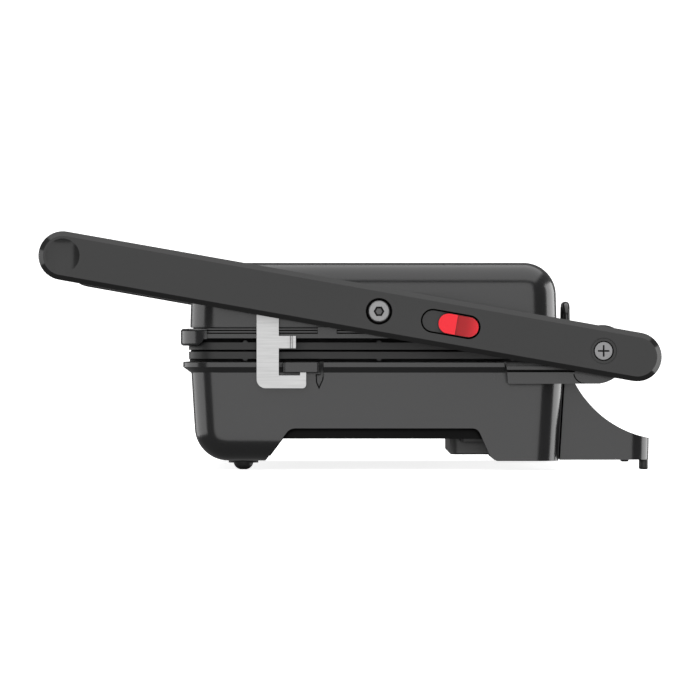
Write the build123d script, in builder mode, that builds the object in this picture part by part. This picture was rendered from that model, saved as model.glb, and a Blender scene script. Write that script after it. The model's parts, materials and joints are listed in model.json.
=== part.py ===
"""Panini press: ribbed plates in two casings, joined by a pair of tilted side arms.

Millimetres. +X is the user's right, +Y is the back, +Z is up. The origin is on the counter,
at the middle of the footprint. The handle arms and the lid open over the back about the hinge.
"""
from build123d import *
import os
from math import cos, radians, sin, tan

os.makedirs("parts", exist_ok=True)

# ---- driving dimensions --------------------------------------------------------------------

# hinge line and the straight side arms, measured along the arm from the hinge
HINGE_Y = 134.5
HINGE_Z = 64.0
ARM_TILT = radians(10.0)
ARM_FRONT = -291.3            # centre of the rounded front end
ARM_REAR = 18.2               # centre of the rounded rear end
ARM_HALF = 13.0               # half the arm's height
ARM_INNER = 139.0             # x of the arm's inner face
ARM_OUTER = 155.0
ARM_BEVEL = 2.6
ARM_WALL = 2.5
ARM_COVER = 2.0               # thickness of the arm's inner cover
FLOAT_AT = -120.95            # lid pivot, along the arm
SLOT_AT = -82.35              # middle of the lock slot, along the arm
LATCH_PIVOT_AT = -181.65      # latch rivet, along the arm

# casings
BODY_HALF = 131.5             # x of the side walls
RIM_HALF = 134.0              # x of the rims on both casings
WALL = 2.5
LID_BOTTOM = 76.6
LID_TOP = 111.4
LID_FRONT = -85.9
LID_REAR = 111.2
LID_DRAFT = 1.0               # how far front and back lean in over the lid's height
LID_END_R = 17.3              # rounding of the lid's top at the front and back
LID_SIDE_R = 16.0             # rounding of the lid's sides
TRIM_BOTTOM = 70.4            # underside of the lid's trim
RIM_TOP = 58.2                # top of the lower rim
BASE_FRONT = -85.4
BASE_REAR = 114.9
BASE_BOTTOM = 5.1
BASE_LEAN = 3.0               # how far front and back lean in over the base's height
BASE_FRONT_R = 18.0
BASE_SIDE_R = 14.0
BASE_REAR_R = 15.0
FLARE_BOTTOM = 51.2           # the flare starts inside the wall and comes out just above this
FLARE_TOP = 55.4
RIM_FRONT = -89.7
RIM_REAR = 117.0
RIM_R = 17.0
COVER_Z = 17.0                # underside of the raised bottom cover

# grill plates
PLATE_HALF = 131.5
PLATE_FRONT = -86.6
PLATE_REAR = 106.0
PLATE_R = 15.0
LOWER_EDGE = (59.6, 63.7)     # z of the lower plate's visible edge
UPPER_EDGE = (64.5, 68.7)
PLATE_COLLAR = (128.0, -86.2, 103.2)   # half width, front and rear of the step behind each rim
PLATE_BODY_HALF = 120.0       # the part of each plate that sinks into its casing
PLATE_BODY_FRONT = -78.0
PLATE_BODY_REAR = 94.0
PLATE_BODY_DROP = 2.2
RIB_PITCH = 9.5
RIB_GROOVE = 4.6
RIB_COUNT = 24
RIB_DEPTH = 2.2
RIB_LENGTH = 150.0
BEAD = (122.5, -85.0, 102.0)  # half width, front and rear of the seal bead's centre line
BEAD_HALF = 0.7
BEAD_HEIGHT = 1.1
BEAD_CLEARANCE = 0.3

# heating
ELEMENT_R = 3.25
ELEMENT_HALF = 72.0
SHIELD_HALF = 106.0
SHIELD_FRONT = -66.0
SHIELD_REAR = 80.0
SCREW_R = 2.0

# hinge and pivots
SHAFT_R = 4.0
RUN_CLEARANCE = 0.05
HINGE_BLOCK_IN = 112.0        # inboard face of each hinge block
BRACKET_OUT = 138.3
BRACKET_BOTTOM = 46.5
BRACKET_FRONT = 83.5
BUSH_R = 6.0

# latch and its catch, on the right side
LATCH_IN = 136.3
LATCH_SHEET = 1.5
CATCH_OUT = 138.4
CATCH_BOTTOM = 52.8
LATCH_GAP = 0.3

# drip tray
TRAY_HALF = 74.0
TRAY_FRONT = 54.5
TRAY_REAR = 118.0
TRAY_BOTTOM = 7.4
TRAY_TOP = 16.2
TRAY_WALL = 1.8
TRAY_FLANGE = 3.5
TRAY_PASSAGE = 79.6           # half width of the way out through the rear wall

STAND_IN = 83.0               # inner face of each rear stand
STAND_OUT = 108.0


def at_side(x):
    """A plane facing +X at x, with Y to its right and Z up."""
    return Plane(origin=(x, 0, 0), x_dir=(0, 1, 0), z_dir=(1, 0, 0))


def on_arm(x):
    """A plane facing +X at x, centred on the hinge and turned to lie along the arm."""
    along = (0, cos(ARM_TILT), -sin(ARM_TILT))
    return Plane(origin=(x, HINGE_Y, HINGE_Z), x_dir=along, z_dir=(1, 0, 0))


def arm_point(along):
    """Y and Z of a point on the arm's centre line."""
    return HINGE_Y + along * cos(ARM_TILT), HINGE_Z - along * sin(ARM_TILT)


def plan(half_x, front, rear, radius, z):
    """A rounded rectangle seen from above, at height z."""
    with BuildSketch(Plane.XY.offset(z)) as outline:
        with Locations((0, (front + rear) / 2)):
            RectangleRounded(2 * half_x, rear - front, radius)
    return outline.sketch


def arm_slot(x, half, shrink=0.0):
    """The arm's long rounded outline at x, smaller by shrink all round."""
    with BuildSketch(on_arm(x)) as outline:
        with Locations(((ARM_FRONT + ARM_REAR) / 2, 0)):
            SlotCenterToCenter(ARM_REAR - ARM_FRONT, 2 * (half - shrink))
    return outline.sketch


def rod(x_from, x_to, y, z, radius):
    """A round bar along X."""
    with BuildPart() as bar:
        with BuildSketch(at_side(x_from)):
            with Locations((y, z)):
                Circle(radius)
        extrude(amount=x_to - x_from)
    return bar.part


# ---- base: the lower casing ----------------------------------------------------------------

ARCH_TOP = 22.6
ARCH_FOOT = BASE_BOTTOM - 0.05
ARCH = (
    (-50.0, 0.0), (-50.0, ARCH_FOOT), (-45.4, ARCH_FOOT), (-32.2, ARCH_TOP),
    (68.3, ARCH_TOP), (76.3, ARCH_FOOT), (86.0, ARCH_FOOT), (86.0, 0.0),
)
ARCH_RADII = (1.5, 5.9, 4.4, 5.5)
HALVES_MEET = 15.0            # the rounded front and the square back join inside the arch


def tub(inset):
    """The lower casing's outer form, or its cavity when inset by the wall."""
    half = BODY_HALF - inset
    bottom = BASE_BOTTOM + inset
    lean = BASE_LEAN * (bottom - BASE_BOTTOM) / (FLARE_TOP - BASE_BOTTOM)
    with BuildPart() as form:
        with BuildSketch(at_side(-half)):
            with BuildLine():
                Polyline(
                    (BASE_FRONT + inset, FLARE_TOP),
                    (BASE_FRONT + BASE_LEAN - lean + inset, bottom),
                    (HALVES_MEET, bottom),
                    (HALVES_MEET, FLARE_TOP),
                    close=True,
                )
            corner = make_face().vertices().group_by(Axis.Y)[0].sort_by(Axis.X)[0]
            fillet(corner, BASE_FRONT_R - inset)
        extrude(amount=2 * half)
        for side in (0, -1):
            outline = form.faces().sort_by(Axis.X)[side].edges()
            rounded = [
                e for e in outline
                if e.center().Z < FLARE_TOP - 1 and e.center().Y < HALVES_MEET - 1
            ]
            fillet(rounded, BASE_SIDE_R - inset)
        with BuildSketch(at_side(-half)):
            with BuildLine():
                Polyline(
                    (HALVES_MEET, FLARE_TOP),
                    (HALVES_MEET, bottom),
                    (BASE_REAR - BASE_LEAN + lean - inset, bottom),
                    (BASE_REAR - inset, FLARE_TOP),
                    close=True,
                )
            make_face()
        extrude(amount=2 * half)
        back = form.faces().sort_by(Axis.Y)[-1]
        upright = [e for e in back.edges() if abs(e.tangent_at(0.5).Z) > 0.5]
        fillet(upright, BASE_REAR_R - inset)
    return form.part


BRACKET_TOP = 55.8
BRACKET_GAP = 1.0             # slot between the rim's end and the hinge bracket
SCREEN_X = 122.6
SCREEN_Y = 94.5
SCREEN_LENGTH = 33.0
SCREEN_Z = (48.0, 58.1)
SCOOP = ((-18.4, 51.6), (-13.8, 51.6), (-14.3, 48.4), (-16.6, 43.4), (-18.2, 47.2))
SCOOP_DEPTH = 1.1
SLIT_Y = -15.0
SLIT_WIDTH = 1.8
POST_R = 5.0
POST_X = 112.0
POST_YS = (-66.0, 86.0)
CATCH_FRONT = -35.9
CATCH_REAR = -16.2
GLAND_X = -70.0
GLAND_Z = 33.0

with BuildPart() as lower_housing:
    add(tub(0.0))
    # the wall flares out to the rim
    loft([
        plan(BODY_HALF - 1.0, BASE_FRONT + 1.4, BASE_REAR - 1.4, BASE_SIDE_R, FLARE_BOTTOM).face(),
        plan(RIM_HALF, RIM_FRONT, RIM_REAR, RIM_R, FLARE_TOP).face(),
    ])
    extrude(plan(RIM_HALF, RIM_FRONT, RIM_REAR, RIM_R, FLARE_TOP), amount=RIM_TOP - FLARE_TOP)
    # the catch for the latch's hook
    with BuildSketch(Plane.XY.offset(CATCH_BOTTOM)):
        with Locations(((RIM_HALF - 4 + CATCH_OUT) / 2, (CATCH_FRONT + CATCH_REAR) / 2)):
            RectangleRounded(CATCH_OUT - RIM_HALF + 4, CATCH_REAR - CATCH_FRONT, 1.8)
    extrude(amount=RIM_TOP - CATCH_BOTTOM)
    fillet(lower_housing.faces().sort_by(Axis.Z)[-1].edges(), 0.6)
    add(tub(WALL), mode=Mode.SUBTRACT)
    mouth = plan(
        BODY_HALF - WALL + 0.4, BASE_FRONT + WALL - 0.6, BASE_REAR - WALL + 0.6, BASE_SIDE_R,
        FLARE_TOP - 1,
    )
    extrude(mouth, amount=RIM_TOP, mode=Mode.SUBTRACT)
    # the low arch through both side walls, and the open floor between its feet
    with BuildSketch(at_side(-RIM_HALF)):
        with BuildLine():
            Polyline(*ARCH, close=True)
        face = make_face()
        for (y, z), radius in zip(ARCH[2:6], ARCH_RADII):
            corner = [v for v in face.vertices() if abs(v.X - y) + abs(v.Y - z) < 0.1]
            face = fillet(corner, radius)
    extrude(amount=2 * RIM_HALF, mode=Mode.SUBTRACT)
    for side in (-1, 1):
        # the rim is cut away where the hinge bracket sits on the wall
        with BuildSketch(at_side(side * BODY_HALF)):
            with BuildLine():
                Polyline(
                    (BRACKET_FRONT - BRACKET_GAP + 0.9, BRACKET_BOTTOM - 1.0),
                    (BRACKET_FRONT - BRACKET_GAP - 0.2, RIM_TOP + 1), (RIM_REAR + 1, RIM_TOP + 1),
                    (RIM_REAR + 1, BRACKET_BOTTOM - 1.0), close=True,
                )
            make_face()
        extrude(amount=side * 10.0, mode=Mode.SUBTRACT)
        # and left open above it
        with Locations((side * BODY_HALF, (BRACKET_FRONT + RIM_REAR) / 2, RIM_TOP)):
            Box(10.0, RIM_REAR - BRACKET_FRONT, 2 * (RIM_TOP - BRACKET_TOP), mode=Mode.SUBTRACT)
        # a screen rib inside closes the view through that opening
        with Locations((side * SCREEN_X, SCREEN_Y, (SCREEN_Z[0] + SCREEN_Z[1]) / 2)):
            Box(2.0, SCREEN_LENGTH, SCREEN_Z[1] - SCREEN_Z[0])
        with Locations((side * (SCREEN_X + 4.0), SCREEN_Y - SCREEN_LENGTH / 2, SCREEN_Z[0] + 2.0)):
            Box(10.0, 2.0, 4.0)
    # the scoop and the slit behind the catch
    with BuildSketch(at_side(BODY_HALF)):
        with BuildLine():
            Polyline(*SCOOP, close=True)
        make_face()
    extrude(amount=-SCOOP_DEPTH, taper=30, mode=Mode.SUBTRACT)
    with BuildSketch(at_side(RIM_HALF + 1)):
        with Locations((SLIT_Y, RIM_TOP - 2)):
            Rectangle(SLIT_WIDTH, 12.0)
    extrude(amount=-(RIM_HALF + 2 - BODY_HALF), mode=Mode.SUBTRACT)
    # the drip tray's way out at the back
    with Locations((0, BASE_REAR - 18, BASE_BOTTOM)):
        Box(
            2 * TRAY_PASSAGE, 60, 2 * (COVER_Z - BASE_BOTTOM),
            mode=Mode.SUBTRACT,
        )
    # posts under the lower plate
    for y in POST_YS:
        with BuildSketch(Plane.XY.offset(BASE_BOTTOM + WALL)):
            with Locations((-POST_X, y), (POST_X, y)):
                Circle(POST_R)
        extrude(amount=LOWER_EDGE[0] - PLATE_BODY_DROP - BASE_BOTTOM - WALL)
    # the hole for the mains lead's gland
    with BuildSketch(Plane(origin=(GLAND_X, BASE_REAR + 2, GLAND_Z), z_dir=(0, 1, 0))):
        Circle(7.0)
    extrude(amount=-10, mode=Mode.SUBTRACT)
lower_housing.part.label = "lower_housing"
export_step(lower_housing.part, "parts/lower_housing.step")

# ---- base: raised bottom cover with the tray's rails ----------------------------------------

COVER_HALF = BODY_HALF - WALL - 0.4
COVER_BACK = 72.0             # where the raised flat ends, outside the tray
FLOOR_TOP = BASE_BOTTOM + WALL
RAIL_OUT = 79.4
RAIL_FOOT = 1.6
CHUTE_Y = 86.0
CHUTE_R = 6.0

with BuildPart() as base_bottom_cover:
    with BuildSketch(at_side(-COVER_HALF)):
        with BuildLine():
            Polyline(
                (-52.0, FLOOR_TOP), (-42.8, FLOOR_TOP), (-35.8, COVER_Z), (COVER_BACK, COVER_Z),
                (COVER_BACK, COVER_Z + WALL), (-37.0, COVER_Z + WALL), (-44.0, FLOOR_TOP + WALL),
                (-52.0, FLOOR_TOP + WALL), close=True,
            )
        make_face()
    extrude(amount=2 * COVER_HALF)
    # upstands behind the side arches
    for side in (-1, 1):
        with Locations((side * (COVER_HALF - 1.2), 17.5, COVER_Z + 5.0)):
            Box(2.4, 109.0, 10.0)
    # the flat runs on to the rear wall over the drip tray
    with Locations((0, 89.0, COVER_Z + WALL / 2)):
        Box(2 * (TRAY_PASSAGE + 2.0), 46.0, WALL)
    # outside the tray it drops to the rear floor
    for side in (-1, 1):
        with BuildSketch(at_side(side * (TRAY_PASSAGE + 0.4))):
            with BuildLine():
                Polyline(
                    (COVER_BACK, COVER_Z), (COVER_BACK + 9.0, FLOOR_TOP), (COVER_BACK + 11.5, FLOOR_TOP),
                    (COVER_BACK + 3.0, COVER_Z + WALL), (COVER_BACK, COVER_Z + WALL),
                    close=True,
                )
            make_face()
        extrude(amount=side * (COVER_HALF - TRAY_PASSAGE - 0.4))
        with Locations((side * (TRAY_PASSAGE + 1.2), 97.5, (FLOOR_TOP + COVER_Z) / 2)):
            Box(1.6, 29.0, COVER_Z - FLOOR_TOP)
    with Locations((0, CHUTE_Y, COVER_Z)):
        Cylinder(CHUTE_R, 20.0, mode=Mode.SUBTRACT)
    with Locations((-POST_X, POST_YS[1], COVER_Z), (POST_X, POST_YS[1], COVER_Z)):
        Cylinder(POST_R + 0.3, 40.0, mode=Mode.SUBTRACT)
    # trimmed to the casing's rounded inside
    add(tub(WALL + 0.05), mode=Mode.INTERSECT)
base_bottom_cover.part.label = "base_bottom_cover"
export_step(base_bottom_cover.part, "parts/base_bottom_cover.step")

# L-shaped rails under the cover, one each side, that carry the tray's flanges
with BuildPart() as tray_rails:
    with BuildSketch(Plane(origin=(0, 78.0, 0), x_dir=(1, 0, 0), z_dir=(0, -1, 0))):
        with BuildLine():
            Polyline(
                (RAIL_OUT, COVER_Z), (RAIL_OUT, TRAY_TOP - 3.5), (TRAY_HALF + 0.4, TRAY_TOP - 3.5),
                (TRAY_HALF + 0.4, TRAY_TOP - 3.5 + RAIL_FOOT),
                (RAIL_OUT - RAIL_FOOT, TRAY_TOP - 3.5 + RAIL_FOOT), (RAIL_OUT - RAIL_FOOT, COVER_Z),
                close=True,
            )
        make_face()
    extrude(amount=-33.0)
    mirror(about=Plane.YZ)
tray_rails.part.label = "tray_rails"
export_step(tray_rails.part, "parts/tray_rails.step")

with BuildPart() as cover_screws:
    with BuildSketch(Plane.XY.offset(FLOOR_TOP + WALL)):
        with Locations((0, -48.5)):
            with GridLocations(60.0, 0, 4, 1):
                Circle(3.0)
    extrude(amount=2.0)
    with BuildSketch(Plane.XY.offset(FLOOR_TOP + WALL + 2.0)):
        with Locations((0, -48.5)):
            with GridLocations(60.0, 0, 4, 1):
                Rectangle(4.0, 0.8)
                Rectangle(0.8, 4.0)
    extrude(amount=-1.0, mode=Mode.SUBTRACT)
cover_screws.part.label = "cover_screws"
export_step(cover_screws.part, "parts/cover_screws.step")

with BuildPart() as drip_tray:
    with BuildSketch(Plane.XY.offset(TRAY_BOTTOM)):
        with Locations((0, (TRAY_FRONT + TRAY_REAR) / 2)):
            RectangleRounded(2 * TRAY_HALF, TRAY_REAR - TRAY_FRONT, 5.0)
    extrude(amount=TRAY_TOP - TRAY_BOTTOM)
    fillet(drip_tray.faces().sort_by(Axis.Z)[0].edges(), 1.0)
    with BuildSketch(Plane.XY.offset(TRAY_TOP - 1.6)):
        with Locations((0, (TRAY_FRONT + TRAY_REAR) / 2)):
            RectangleRounded(2 * (TRAY_HALF + TRAY_FLANGE), TRAY_REAR - TRAY_FRONT - 12, 2.0)
    extrude(amount=1.6)
    with BuildSketch(Plane.XY.offset(TRAY_BOTTOM + TRAY_WALL)):
        with Locations((0, (TRAY_FRONT + TRAY_REAR) / 2)):
            RectangleRounded(2 * (TRAY_HALF - TRAY_WALL), TRAY_REAR - TRAY_FRONT - 2 * TRAY_WALL, 3.2)
    extrude(amount=TRAY_TOP, mode=Mode.SUBTRACT)
    # the finger lip at the back
    with BuildSketch(Plane.XY.offset(TRAY_TOP - 2.0)):
        with Locations((0, TRAY_REAR + 2.0)):
            RectangleRounded(60.0, 10.0, 3.0)
    extrude(amount=2.0)
    with BuildSketch(Plane.XY.offset(TRAY_TOP - 3.0)):
        with Locations((0, TRAY_REAR - 12.0)):
            Rectangle(70.0, 20.4)
    extrude(amount=4.0, mode=Mode.SUBTRACT)
drip_tray.part.label = "drip_tray"
export_step(drip_tray.part, "parts/drip_tray.step")

# ---- base: feet, rear stands and the inlet --------------------------------------------------

FRONT_FOOT = (100.0, -57.6)
FOOT_FLANGE_R = 8.0
FOOT_FLANGE_BOTTOM = 3.7
FOOT_DOME_R = 5.35

with BuildPart() as front_feet:
    for side in (-1, 1):
        with BuildSketch(Plane(origin=(side * FRONT_FOOT[0], FRONT_FOOT[1], 0), x_dir=(1, 0, 0),
                               z_dir=(0, -1, 0))):
            with BuildLine():
                Polyline(
                    (FOOT_DOME_R, FOOT_FLANGE_BOTTOM), (FOOT_FLANGE_R, FOOT_FLANGE_BOTTOM),
                    (FOOT_FLANGE_R, BASE_BOTTOM), (0, BASE_BOTTOM), (0, 0), (1.6, 0),
                )
                RadiusArc((1.6, 0), (FOOT_DOME_R, FOOT_FLANGE_BOTTOM), -4.6)
            make_face()
        revolve(axis=Axis((side * FRONT_FOOT[0], FRONT_FOOT[1], 0), (0, 0, 1)))
front_feet.part.label = "front_feet"
export_step(front_feet.part, "parts/front_feet.step")

STAND_BOTTOM = 5.3
STAND_REAR = 161.6
STAND_TIP = 17.0              # height of the stand at its rear end
STAND_TOP_Y = 121.4           # where the hollow top starts, under the hinge
STAND_ARC_R = 57.6
STAND_CORNER_R = 12.0
STAND_GAP = 1.3               # between the casing's back and the stand, outside its flange
STAND_FLANGE = 4.0


def rear_wall_y(z):
    """Y of the casing's leaning rear wall at height z."""
    return BASE_REAR - BASE_LEAN * (FLARE_TOP - z) / (FLARE_TOP - BASE_BOTTOM)


def stand_profile(gap):
    """The stand seen from the side, its front gap behind the casing's rear wall."""
    with BuildSketch(at_side(STAND_IN)) as outline:
        with BuildLine():
            Polyline(
                (STAND_TOP_Y, BRACKET_BOTTOM), (rear_wall_y(BRACKET_BOTTOM) + gap, BRACKET_BOTTOM),
                (rear_wall_y(STAND_BOTTOM) + gap, STAND_BOTTOM),
                (STAND_REAR, STAND_BOTTOM), (STAND_REAR + 0.2, STAND_TIP),
            )
            RadiusArc((STAND_REAR + 0.2, STAND_TIP), (STAND_TOP_Y, BRACKET_BOTTOM), STAND_ARC_R)
        make_face()
    return outline.sketch


with BuildPart() as right_rear_stand:
    extrude(stand_profile(STAND_GAP), amount=STAND_OUT - STAND_IN)
    back = right_rear_stand.faces().sort_by(Axis.Y)[-1]
    fillet([e for e in back.edges() if abs(e.tangent_at(0.5).Z) > 0.5], STAND_CORNER_R)
    # the flange that is screwed to the rear wall
    with BuildSketch(at_side(STAND_IN)):
        with BuildLine():
            Polyline(
                (rear_wall_y(BRACKET_BOTTOM), BRACKET_BOTTOM), (rear_wall_y(STAND_BOTTOM), STAND_BOTTOM),
                (BASE_REAR + 3.0, STAND_BOTTOM), (BASE_REAR + 3.0, BRACKET_BOTTOM), close=True,
            )
        make_face()
    extrude(amount=STAND_FLANGE)
right_rear_stand.part.label = "right_rear_stand"
export_step(right_rear_stand.part, "parts/right_rear_stand.step")

with BuildPart() as left_rear_stand:
    mirror(right_rear_stand.part, about=Plane.YZ)
left_rear_stand.part.label = "left_rear_stand"
export_step(left_rear_stand.part, "parts/left_rear_stand.step")

REAR_FOOT = ((STAND_IN + STAND_OUT) / 2, 158.9)
REAR_FOOT_R = 2.2

with BuildPart() as rear_feet:
    with BuildSketch():
        with Locations((-REAR_FOOT[0], REAR_FOOT[1]), REAR_FOOT):
            SlotOverall(14.0, 2 * REAR_FOOT_R)
    extrude(amount=STAND_BOTTOM)
    fillet(rear_feet.faces().group_by(Axis.Z)[0].edges(), 0.8)
rear_feet.part.label = "rear_feet"
export_step(rear_feet.part, "parts/rear_feet.step")

with BuildPart() as cord_gland:
    with BuildSketch(Plane(origin=(GLAND_X, BASE_REAR - 6, GLAND_Z), z_dir=(0, 1, 0))):
        Circle(6.6)
    extrude(amount=5.4)
    with BuildSketch(Plane(origin=(GLAND_X, BASE_REAR - 0.6, GLAND_Z), z_dir=(0, 1, 0))):
        Circle(9.0)
    extrude(amount=3.6)
    fillet(cord_gland.faces().sort_by(Axis.Y)[-1].edges(), 1.5)
    with BuildSketch(Plane(origin=(GLAND_X, BASE_REAR - 6, GLAND_Z), z_dir=(0, 1, 0))):
        Circle(3.6)
    extrude(amount=12.0, mode=Mode.SUBTRACT)
cord_gland.part.label = "cord_gland"
export_step(cord_gland.part, "parts/cord_gland.step")

# ---- base: hinge brackets and screws --------------------------------------------------------

LOBE_R = 17.3                 # rounding of the bracket's lower rear corner
LOBE_Y = 131.2
BOSS_R = 13.9
GROOVE_Z = (52.6, 54.0)
GROOVE_DEPTH = 1.2
SEAM_CENTRE = (125.4, 52.7)
SEAM_R = 6.1
SEAM_HALF = 0.3
SEAM_DEPTH = 1.0
SEAM_SWEEP = 80.0             # degrees, from straight below the centre towards the front
CONDUIT_R = 1.95

with BuildPart() as right_hinge_bracket:
    # the plate on the casing's rear corner
    with BuildSketch(at_side(BODY_HALF)):
        with BuildLine():
            Polyline(
                (LOBE_Y, BRACKET_BOTTOM), (BRACKET_FRONT + 0.8, BRACKET_BOTTOM), (BRACKET_FRONT, BRACKET_TOP),
                (HINGE_Y - BOSS_R + 1, BRACKET_TOP), (HINGE_Y - BOSS_R + 1, BRACKET_BOTTOM + LOBE_R),
                (LOBE_Y + LOBE_R, BRACKET_BOTTOM + LOBE_R),
            )
            RadiusArc((LOBE_Y, BRACKET_BOTTOM), (LOBE_Y + LOBE_R, BRACKET_BOTTOM + LOBE_R), -LOBE_R)
        make_face()
    extrude(amount=BRACKET_OUT - BODY_HALF)
    # the block behind the casing, round the hinge line
    with BuildSketch(at_side(HINGE_BLOCK_IN)):
        with Locations((HINGE_Y, HINGE_Z)):
            Circle(BOSS_R)
        with BuildLine():
            Polyline(
                (BASE_REAR + 2.4, BRACKET_BOTTOM), (HINGE_Y - 1.0, BRACKET_BOTTOM),
                (HINGE_Y - 1.0, HINGE_Z), (HINGE_Y - BOSS_R, HINGE_Z),
                (BASE_REAR + 2.4, RIM_TOP - 2), close=True,
            )
        make_face()
    extrude(amount=BRACKET_OUT - HINGE_BLOCK_IN)
    # the upper lip overhangs a slanting groove, in line with the casing's flared rim
    with BuildSketch(Plane.XZ.offset(-80.0)):
        with BuildLine():
            Polyline(
                (BRACKET_OUT, GROOVE_Z[1]), (BRACKET_OUT - GROOVE_DEPTH, GROOVE_Z[0]),
                (BRACKET_OUT, GROOVE_Z[0]), close=True,
            )
        make_face()
    extrude(amount=-40.0, mode=Mode.SUBTRACT)
    # the seam round the hinge's cheek
    seam_middle = (BRACKET_OUT, *SEAM_CENTRE)
    with BuildSketch(Plane(origin=seam_middle, x_dir=(1, 0, 0), z_dir=(0, -1, 0))):
        with BuildLine():
            Polyline(
                (0, SEAM_HALF - SEAM_R), (-SEAM_DEPTH, -SEAM_R), (0, -SEAM_HALF - SEAM_R), close=True,
            )
        make_face()
    revolve(axis=Axis(seam_middle, (-1, 0, 0)), revolution_arc=SEAM_SWEEP, mode=Mode.SUBTRACT)
    # bores for the hinge screw and, inboard, for the wiring conduit
    add(rod(HINGE_BLOCK_IN + 12, BRACKET_OUT + 1, HINGE_Y, HINGE_Z, SHAFT_R), mode=Mode.SUBTRACT)
    add(rod(HINGE_BLOCK_IN - 1, HINGE_BLOCK_IN + 9, HINGE_Y, HINGE_Z, CONDUIT_R + 0.3), mode=Mode.SUBTRACT)
right_hinge_bracket.part.label = "right_hinge_bracket"
export_step(right_hinge_bracket.part, "parts/right_hinge_bracket.step")

with BuildPart() as left_hinge_bracket:
    mirror(right_hinge_bracket.part, about=Plane.YZ)
left_hinge_bracket.part.label = "left_hinge_bracket"
export_step(left_hinge_bracket.part, "parts/left_hinge_bracket.step")

HINGE_HEAD_R = 5.0
HINGE_HEAD_X = (151.2, 153.8)
CROSS = (6.1, 0.9)
RECESS_R = 7.0                # shallow step round the hinge screw's head
HEAD_STEP = 0.9

with BuildPart() as hinge_screws:
    add(rod(HINGE_BLOCK_IN + 12, HINGE_HEAD_X[0], HINGE_Y, HINGE_Z, SHAFT_R))
    add(rod(HINGE_HEAD_X[0], HINGE_HEAD_X[1], HINGE_Y, HINGE_Z, HINGE_HEAD_R))
    fillet(hinge_screws.faces().sort_by(Axis.X)[-1].edges(), 0.5)
    with BuildSketch(at_side(HINGE_HEAD_X[1])):
        with Locations((HINGE_Y, HINGE_Z)):
            Rectangle(*CROSS)
            Rectangle(*reversed(CROSS))
    extrude(amount=-1.3, taper=16, mode=Mode.SUBTRACT)
    mirror(about=Plane.YZ)
hinge_screws.part.label = "hinge_screws"
export_step(hinge_screws.part, "parts/hinge_screws.step")

# ---- grill plates ---------------------------------------------------------------------------

BUMP_R = 1.35
BUMP_YS = (-56.0, 15.5, 87.0)


def ring(centre_line, half, z):
    """A rounded rectangular ring at height z, half to each side of its centre line."""
    half_x, front, rear = centre_line
    outer = plan(half_x + half, front - half, rear + half, 12.0 + half, z)
    inner = plan(half_x - half, front + half, rear - half, 12.0 - half, z)
    return outer - inner


def grill_plate(edge, facing, seat):
    """A ribbed plate. edge is the z range of its rim, facing is +1 for a plate that faces up,
    and seat is the z of the casing's face behind it."""
    face_z = edge[1] if facing > 0 else edge[0]
    back_z = edge[0] if facing > 0 else edge[1]
    body_z = back_z - facing * PLATE_BODY_DROP
    middle_y = (PLATE_BODY_FRONT + PLATE_BODY_REAR) / 2
    with BuildPart() as plate:
        extrude(plan(PLATE_HALF, PLATE_FRONT, PLATE_REAR, PLATE_R, edge[0]), amount=edge[1] - edge[0])
        fillet(plate.faces().filter_by(Axis.Z).edges(), 0.3)
        extrude(plan(*PLATE_COLLAR, 12.0, back_z), amount=seat - back_z + facing * 0.1)
        body = plan(PLATE_BODY_HALF, PLATE_BODY_FRONT, PLATE_BODY_REAR, 12.0, min(body_z, back_z))
        extrude(body, amount=PLATE_BODY_DROP)
        # grooves between the ribs, and the channel round them
        with BuildSketch(Plane.XY.offset(face_z)):
            with Locations((0, middle_y)):
                with GridLocations(RIB_PITCH, 0, RIB_COUNT, 1):
                    SlotOverall(RIB_LENGTH, RIB_GROOVE, rotation=90)
        extrude(amount=-facing * RIB_DEPTH, mode=Mode.SUBTRACT, taper=12)
        with BuildSketch(Plane.XY.offset(face_z)):
            with Locations((0, middle_y)):
                RectangleRounded(2 * PLATE_BODY_HALF - 2, PLATE_BODY_REAR - PLATE_BODY_FRONT - 4, 10.0)
                RectangleRounded(
                    2 * PLATE_BODY_HALF - 12, PLATE_BODY_REAR - PLATE_BODY_FRONT - 14, 6.0,
                    mode=Mode.SUBTRACT,
                )
        extrude(amount=-facing * RIB_DEPTH, mode=Mode.SUBTRACT)
        # the lower plate's seal bead, and the upper plate's groove that takes it
        if facing > 0:
            extrude(ring(BEAD, BEAD_HALF, face_z), amount=BEAD_HEIGHT)
        else:
            extrude(
                ring(BEAD, BEAD_HALF + BEAD_CLEARANCE, face_z), amount=BEAD_HEIGHT + 0.2,
                mode=Mode.SUBTRACT,
            )
        # locating bumps on the rim's back edge
        with BuildSketch(at_side(-PLATE_HALF)):
            with Locations(*[(y, back_z + facing * 0.35) for y in BUMP_YS]):
                Circle(BUMP_R)
        extrude(amount=3.0)
        with BuildSketch(at_side(PLATE_HALF)):
            with Locations(*[(y, back_z + facing * 0.35) for y in BUMP_YS]):
                Circle(BUMP_R)
        extrude(amount=-3.0)
        if facing > 0:
            with BuildSketch(Plane.XY.offset(body_z)):
                with Locations((0, PLATE_BODY_REAR - 5.0)):
                    SlotOverall(14.0, 5.0)
            extrude(amount=10.0, mode=Mode.SUBTRACT)
    return plate.part


with BuildPart() as lower_grill_plate:
    add(grill_plate(LOWER_EDGE, 1, RIM_TOP))
lower_grill_plate.part.label = "lower_grill_plate"
export_step(lower_grill_plate.part, "parts/lower_grill_plate.step")

with BuildPart() as upper_grill_plate:
    add(grill_plate(UPPER_EDGE, -1, TRIM_BOTTOM))
upper_grill_plate.part.label = "upper_grill_plate"
export_step(upper_grill_plate.part, "parts/upper_grill_plate.step")

LOWER_BACK = LOWER_EDGE[0] - PLATE_BODY_DROP
UPPER_BACK = UPPER_EDGE[1] + PLATE_BODY_DROP

# ---- heating: elements, shields, thermostat and wiring blocks -------------------------------


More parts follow.
